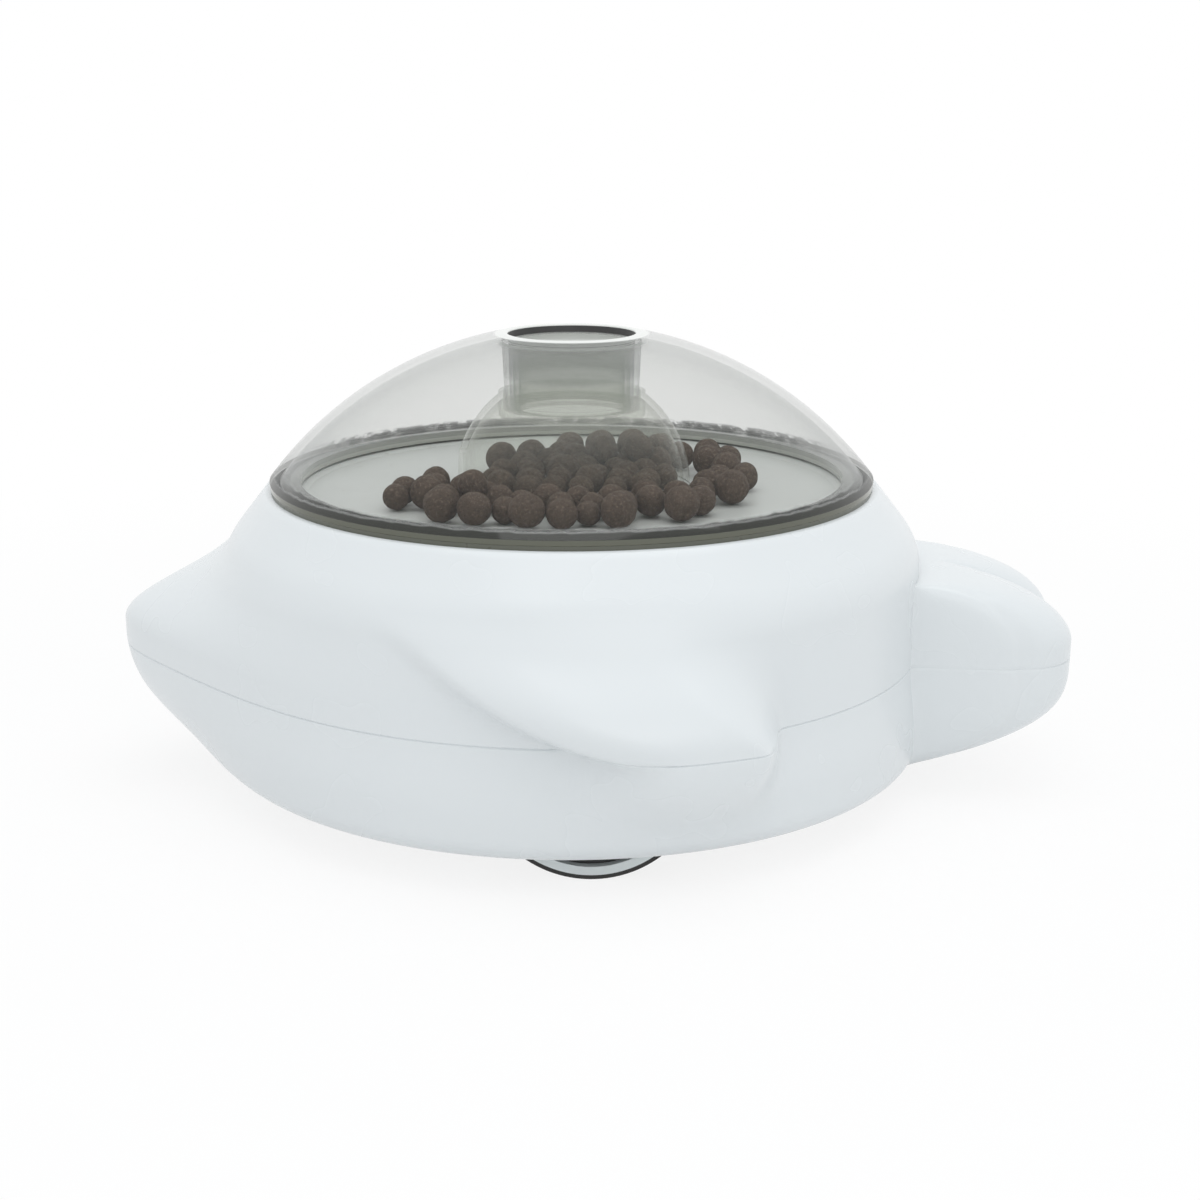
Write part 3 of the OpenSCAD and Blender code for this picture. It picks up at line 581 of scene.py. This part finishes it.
def coil():
    steps, sides = 48, 14
    rise = spring_high - spring_low - spring_wire - 0.2
    form = bmesh.new()
    last = None
    total = int(spring_turns * steps)
    for i in range(total + 1):
        t = i / steps
        turn = 2 * math.pi * t
        out = Vector((math.cos(turn), math.sin(turn), 0.0))
        level = spring_low + spring_wire / 2 + 0.1 + rise * t / spring_turns
        middle = out * spring_r + Vector((axis_x, 0, level))
        climb = rise / spring_turns / (2 * math.pi * spring_r)
        along = Vector((-math.sin(turn), math.cos(turn), climb)).normalized()
        up = out.cross(along)
        ring = [form.verts.new(middle + spring_wire / 2 * (math.cos(a) * out + math.sin(a) * up))
                for a in (2 * math.pi * k / sides for k in range(sides))]
        if last:
            for k in range(sides):
                form.faces.new((last[k], last[(k + 1) % sides], ring[(k + 1) % sides], ring[k]))
        else:
            form.faces.new(ring[::-1])
        last = ring
    form.faces.new(last)
    bmesh.ops.recalc_face_normals(form, faces=form.faces)
    return form


spring = piece("return_spring_wire", as_mesh("return_spring_wire", coil()), "plunger", "spring_steel",
               spring_steel, "return_spring")
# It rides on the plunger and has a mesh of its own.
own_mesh(spring)

# ---- Glides, seal and the ring in the neck: black rubber, plastic and painted shade ----
# Pressed-in glides on the base, a thin black ring in the hole below its lip, painted shade for the dark back of the
# hole, and a seal under the dome's flange, coloured as the photo shows it: pale inside, a black line, olive
# outside.

rubber = Finish("black_rubber")
rubber.shell({
    "Base Color": rubber.mix(rubber.grain(3.0, 4.0), (0.020, 0.020, 0.021), (0.034, 0.034, 0.033)),
    "Roughness": 0.40 + rubber.grain(1.2, 3.0) * 0.2,
    "Normal": rubber.bump(rubber.grain(0.3, 2.0), 0.02),
})
for name in ("front_glide", "rear_glide"):
    dress(name, rubber)
# Painted shade: this thin black ring stands in for the dark back wall of the hole.
shade_ring_profile = [(15.75, 110.9), (15.75, 112.4), (15.6, 112.4), (15.1, 110.9)]
piece("painted_shade_ring", as_mesh("painted_shade_ring", turned(shade_ring_profile)), "lid", "black_rubber", rubber,
      "neck_ring", sharp_deg=50)

seal = Finish("seal_rubber")
seal_colour = seal.mix(seal.grain(6.0, 3.0), (0.026, 0.028, 0.024), (0.050, 0.053, 0.044))
seal_colour = seal.mix(seal.band(seal.off_axis(), 71.8, 71.0), seal_colour, (0.42, 0.43, 0.39))
seal_colour = seal.mix(seal.band(seal.off_axis(), 73.0, 74.4), seal_colour, (0.115, 0.120, 0.095))
seal.shell({
    "Base Color": seal_colour,
    "Roughness": 0.22 + seal.grain(2.0, 3.0) * 0.16,
    "Normal": seal.bump(seal.grain(1.5, 2.0), 0.02),
})
dress("lid_seal", seal)

# ---- Treats ---------------------------------------------------------------------------
# Dry round kibble of about eight millimetres, baked, brown and pitted, heaped around the bell
# and lying under it.

crust = Finish("kibble")
pits = crust.node("TexVoronoi", {"feature": "F1"},
                  {"Vector": crust.place(1000.0 / 1.3), "Scale": 1.0}, "Distance")
tone = crust.grain(5.5, 3.0, 0.6)
crust_colour = crust.mix(tone, (0.042, 0.026, 0.017), (0.120, 0.082, 0.058))
crumbs = crust.band(crust.grain(0.7, 3.0, 0.7), 0.52, 0.68) * 0.5
crust_colour = crust.mix(crumbs, crust_colour, (0.24, 0.18, 0.135))
crust.shell({
    "Base Color": crust.mix(crust.band(pits, 0.35, 0.10) * 0.5, crust_colour, (0.045, 0.030, 0.022)),
    "Roughness": 0.72 + crust.grain(1.0, 2.0) * 0.2,
    "Normal": crust.bump(pits + crust.grain(0.5, 3.0, 0.7) * 0.8, 0.28),
})

bell_r, bell_wall = 29.7, 1.6
sink_step, crowded_r = 0.12, 36

# Where the pieces start, in millimetres from the bell's axis, with their radius: those around the
# bell, those under it, and of each a few that are dropped on top of the others.
outside_starts = (
    (-40, -28, 3.3), (-32, -29, 4.2), (-28, -40, 4.4), (-36, -21, 3.6), (-19, -43, 4.2),
    (-14, -39, 3.3), (-8, -46, 4.4), (-2, -45, 3.7), (3, -42, 3.1), (10, -44, 4.4), (16, -36, 4.0),
    (24, -39, 4.4), (30, -26, 3.6), (36, -21, 4.3), (39, 3, 4.1), (35, 24, 3.9), (29, -32, 3.7),
    (36, -11, 3.7), (35, 13, 4.2), (42, -6, 3.6), (-25, -31, 3.9), (-16, -34, 3.6), (-7, -37, 3.8),
    (1, -36, 3.5), (8, -36, 3.7), (19, -31, 3.8), (-33, -14, 3.8), (-28, -22, 3.9), (-22, -27, 3.4),
    (8, 34, 4.2), (15, 33, 4.4), (23, 28, 4.4), (28, 22, 3.8), (-1, 35, 3.9), (40, 18, 3.6))
inside_starts = (
    (-17, 15, 4.4), (-15, -15, 3.8), (-9, 15, 4.3), (-3, -2, 4.6), (-1, 22, 3.7), (2, -19, 3.3),
    (7, 20, 4.1), (6, 13, 3.4), (7, -3, 3.4), (15, 17, 4.3), (15, 10, 3.6), (16, -9, 3.4),
    (20, 10, 4.2), (21, -3, 3.4), (17, 3, 3.6), (11, -18, 3.2), (-10, -20, 3.7), (-8, -7, 3.8),
    (-6, -13, 3.3), (0, -11, 3.6), (10, -10, 3.6), (1, 6, 3.8), (-9, 6, 3.7), (9, 5, 3.5),
    (-3, 14, 3.9), (17, -16, 3.6), (-18, -11, 3.5))
outside_tops = (
    (-22, -30, 3.8), (-12, -37, 3.5), (-3, -39, 3.6), (5, -38, 3.4), (14, -38, 3.7), (27, -28, 3.8),
    (35, -14, 3.8), (-31, -21, 3.7))
inside_tops = (
    (-8, -12, 3.8), (4, -10, 3.9), (14, -6, 3.8), (10, 8, 4.0), (18, 5, 3.9), (0, 14, 4.0),
    (8, 15, 4.0), (-12, -2, 3.8), (-2, 4, 3.9), (-11, 9, 3.8))


def settle(starts, tops, outside, steps=260):
    """Lets the pieces sink until they rest on the tray, on each other or against the bell."""
    room = []
    for x, y, r in starts:
        drop = 9 if outside and math.hypot(x, y) < crowded_r else 1
        room.append((Vector((x, y, tray_z + r + drop)), r))
    room += [(Vector((x, y, tray_z + 3 * r + 4)), r) for x, y, r in tops]
    for _ in range(steps):
        for spot, _r in room:
            spot.z -= sink_step
        for i, (a, ra) in enumerate(room):
            for b, rb in room[:i]:
                way = a - b
                short = ra + rb - way.length
                if short > 0:
                    way = way.normalized() * short / 2
                    a += way
                    b -= way
        for spot, r in room:
            way = spot - Vector((0, 0, tray_z))
            reach = bell_r + r if outside else bell_r - bell_wall - r
            if (way.length < reach) == outside:
                spot += way.normalized() * (reach - way.length)
            spot.z = max(spot.z, tray_z + r)
    return room


def bite(form, spot, radius, i):
    """One piece of kibble: a ball, a little out of round and dented."""
    dice = random.Random(1000 + i)
    middle = spot + Vector((axis_x, 0, 0))
    made = bmesh.ops.create_icosphere(form, subdivisions=4, radius=1.0)
    offset = Vector([dice.uniform(-50, 50) for _ in range(3)])
    squat = Vector([dice.uniform(0.94, 1.0) for _ in range(3)])
    for v in made["verts"]:
        way = v.co.normalized()
        dent = noise.noise(way * 1.3 + offset) * 0.05 + noise.noise(way * 5.0 + offset) * 0.03
        size = radius * min(1.0, 0.98 + dent)
        v.co = middle + Vector(way[k] * squat[k] for k in range(3)) * size


for name, starts, tops, body, node_name in (
        ("treats_heap", outside_starts, outside_tops, "root", "treats"),
        ("treats_under_bell", inside_starts, inside_tops, "plunger", "bell_treats")):
    form = bmesh.new()
    for i, (spot, r) in enumerate(settle(starts, tops, body == "root")):
        bite(form, spot, r, i)
    piece(name, as_mesh(name, form), body, "kibble", crust, node_name, sharp_deg=180)

# ---- Dome lid with its neck ------------------------------------------------------------
# A smoky clear dome of two millimetres, moulded in one piece with a short neck that guides the
# button. The lip of its hole is frosted white, painted light that stands in for the highlight on its front edge,
# and the cut edge of its flange looks olive. Its wall above the flange and the near side of the flange carry
# painted shade.


def clear_wall(name, tint, colour, share, rough):
    """Clear plastic: share is how much of the surface's own colour and shine covers what lies behind."""
    made = Finish(name)
    gloss = made.node("LayerWeight", None, {"Blend": 0.5}, "Facing") ** 5.0
    shine = made.node("BsdfPrincipled", None, {
        "Base Color": colour(made), "Roughness": rough, "IOR": 1.49,
        "Normal": made.bump(made.grain(22.0, 0.0), 0.01)})
    return made.clear(tint, shine, gloss * 0.7 + share(made))


top_z, foot_z, flange_z = 112.8, 77.6, 76.2
dome_foot_r, dome_wall, flange_in_r = 75.0, 2.0, 67.5
hole_r, neck_top_r, neck_foot_r, neck_foot_z = 15.8, 17.4, 16.6, 94.2
dome_h = top_z - foot_z
dome_drop = (dome_foot_r ** 2 - (hole_r + 1.5) ** 2 - dome_h ** 2) / (2 * dome_h)
dome_r = math.hypot(dome_drop, dome_foot_r)
dome_mid_z = foot_z - dome_drop


def arc(radius, r0, r1, steps=48):
    a0, a1 = math.acos(r0 / radius), math.acos(r1 / radius)
    turns = [a0 + (a1 - a0) * i / steps for i in range(steps + 1)]
    return [(radius * math.cos(a), dome_mid_z + radius * math.sin(a)) for a in turns]


dome_profile = [(flange_in_r, flange_z), (dome_foot_r - 0.2, flange_z), (dome_foot_r, flange_z + 0.2)]
dome_profile += arc(dome_r, dome_foot_r, hole_r + 1.5)
dome_profile += [(hole_r + 1.0, top_z), (hole_r + 0.2, top_z - 0.1), (hole_r, top_z - 0.3), (hole_r, top_z - 1.8),
                 (hole_r - 0.15, top_z - 1.8), (hole_r - 0.45, neck_foot_z + 1), (14.8, neck_foot_z + 1),
                 (14.8, neck_foot_z + 0.2), (15.0, neck_foot_z), (neck_foot_r - 0.3, neck_foot_z),
                 (neck_foot_r, neck_foot_z + 0.3)]
inner_foot_r = math.sqrt((dome_r - dome_wall) ** 2 - dome_drop ** 2)
dome_profile += arc(dome_r - dome_wall, neck_top_r - 0.1, inner_foot_r) + [(flange_in_r, foot_z)]


def dome_places(made):
    """The frosted lip with its painted highlight, the neck, the flange, its cut edge, the painted shade line over
    it and the near side, where the painted shade is darker, as 0 to 1.
    """
    off, up = made.off_axis(), made.height()
    wave = made.grain(5.0, 2.0) * 0.8
    # Painted highlight: a frosted white band round the lip of the hole.
    lip = made.band(up, top_z - 2.6, top_z - 1.9) * made.band(off, 19.5, 18.6)
    neck = made.band(off, 18.4, 17.9) * made.band(up, 100.8, 102.6) * made.band(up, top_z - 1.9, top_z - 2.6)
    flange = made.band(up, foot_z + 0.1, foot_z - 0.1)
    edge = made.band(off, 74.2, 74.6) * flange
    # Painted shade: a dark line on the wall just above the flange, standing in for the shade in the gap between the
    # tray and the dome's foot, with a wavy upper edge.
    shade_line = made.band(off, 69.5, 70.5) * made.band(up, foot_z - 0.1, foot_z)
    shade_line = shade_line * made.band(up + wave, foot_z + 2.3, foot_z + 1.5)
    near = made.band(made.across(), 0.0, -38.0)
    return lip, neck, flange, edge, shade_line, near


def dome_colour(made):
    lip, neck, flange, edge, shade_line, near = dome_places(made)
    shade = made.mix(made.grain(9.0, 2.0), (0.66, 0.675, 0.665), (0.70, 0.71, 0.70))
    shade = made.mix(neck, shade, (0.25, 0.265, 0.25))
    # Painted shade: the flange is painted black on the near side and pale on the far side.
    shade = made.mix(flange, shade, made.mix(near, (0.52, 0.53, 0.49), (0.020, 0.022, 0.018)))
    shade = made.mix(edge, shade, (0.145, 0.150, 0.115))
    # Painted shade: the dark line over the flange, darkest on the near side.
    shade = made.mix(shade_line, shade, made.mix(near, (0.16, 0.165, 0.155), (0.022, 0.024, 0.019)))
    # Painted highlight: the lip is painted frosted white.
    return made.mix(lip, shade, (0.76, 0.78, 0.75))


def dome_share(made):
    lip, neck, flange, _edge, shade_line, near = dome_places(made)
    far = made.band(made.across(), 22.0, 50.0)
    dashes = made.band(made.grain(3.2, 2.0, 0.6), 0.36, 0.56)
    # The painted shade line and the flange hide more of what lies behind on the near side; on the far side the line
    # breaks into dashes.
    return (lip * 0.86 + neck * 0.17 + flange * (near * 0.20 + 0.60)
            + shade_line * (near * 0.88 + far * dashes * 0.55 + 0.03) + 0.020)


smoky = clear_wall("smoky_dome", (0.930, 0.933, 0.929), dome_colour, dome_share, 0.05)
piece("smoky_dome_shell", as_mesh("smoky_dome_shell", turned(dome_profile, 288)), "lid", "smoky_dome", smoky,
      "dome_lid", sharp_deg=30)

# ---- Push button -----------------------------------------------------------------------
# A clear moulded cup whose top is painted light, a painted reflection of the white surroundings. It slides in the
# neck, its collar stops it there, and its foot rests on the ledge of the bell.

button_r, button_top_z, button_foot_z, cap_r = 14.5, top_z - 2.2, neck_foot_z - 0.2, 15.0
button_profile = [(0, button_top_z - 2), (button_r - 1.9, button_top_z - 2), (button_r - 1.4, button_top_z - 2.5),
                  (button_r - 1.4, button_foot_z), (button_r, button_foot_z), (button_r, button_top_z - 2),
                  (cap_r, button_top_z - 2), (cap_r, button_top_z - 0.6), (cap_r - 0.15, button_top_z - 0.2),
                  (cap_r - 0.6, button_top_z), (0, button_top_z)]


def button_share(made):
    up = made.height()
    # Painted reflection: the top of the cup is painted light.
    top_sheen = made.band(up, button_top_z - 0.5, button_top_z - 0.1)
    return top_sheen * 0.60 + made.band(up, 100.8, 102.6) * 0.05 + 0.015


button = clear_wall("clear_button", (0.94, 0.945, 0.93),
                    lambda made: made.mix(made.grain(6.0, 2.0), (0.56, 0.585, 0.54), (0.62, 0.64, 0.60)),
                    button_share, 0.22)
piece("push_button_cup", as_mesh("push_button_cup", turned(button_profile, 192)), "button", "clear_button", button,
      "push_button", sharp_deg=30)

# ---- Inner bell ------------------------------------------------------------------------
# A thin clear bell, moulded in one piece and fixed on the dosing ring. It keeps the heap out of
# the button's way.


def bell_share(made):
    # Painted reflection: the bell's haze grows towards its top; the rest is its own faint haze.
    return made.band(made.height(), 78.0, 94.0) * 0.055 + made.grain(9.0, 2.0) * 0.012 + 0.010


bell = clear_wall("clear_bell", (0.975, 0.978, 0.968),
                  lambda made: made.mix(made.grain(12.0, 2.0), (0.74, 0.745, 0.70), (0.80, 0.80, 0.76)),
                  bell_share, 0.08)
dress("inner_bell", bell)

# ---- Wheels ----------------------------------------------------------------------------
# Two narrow wheels on one axle: a pale rim, painted lighter than the shell to make up for the shade under the body,
# a thin black tyre and a dark pressed-in cap, with waxy plastic bushes in the lower shell.

bush = Finish("bush_plastic")
bush.shell({
    "Base Color": bush.mix(bush.grain(5.0), (0.70, 0.68, 0.60), (0.78, 0.76, 0.69)),
    "Roughness": 0.38 + bush.grain(1.5) * 0.12,
    "Normal": bush.bump(bush.grain(0.5), 0.02),
})
rim = Finish("wheel_rim")
rim.shell({
    # Painted light: the rim is lighter than the white shell to make up for the shade under the body.
    "Base Color": rim.mix(rim.grain(7.0), (0.84, 0.90, 0.90), (0.88, 0.93, 0.93)),
    "Roughness": 0.30 + rim.grain(2.0) * 0.14,
    "Normal": rim.bump(rim.grain(0.5), 0.02),
})
tyre = Finish("tyre_rubber")
tyre.shell({
    "Base Color": tyre.mix(tyre.grain(2.0, 4.0), (0.018, 0.018, 0.018), (0.032, 0.031, 0.030)),
    "Roughness": 0.50 + tyre.grain(1.0) * 0.2,
    "Normal": tyre.bump(tyre.grain(0.4, 3.0), 0.04),
})
hub = Finish("hub_dark")
hub.shell({
    "Base Color": hub.mix(hub.grain(3.0), (0.030, 0.031, 0.032), (0.050, 0.051, 0.052)),
    "Roughness": 0.30 + hub.grain(1.5) * 0.14,
    "Normal": hub.bump(hub.grain(0.5), 0.02),
})
for side in ("left", "right"):
    dress(side + "_bearing", bush)
    dress(side + "_wheel", rim)
    dress(side + "_tyre", tyre)
    dress(side + "_hub_cap", hub)
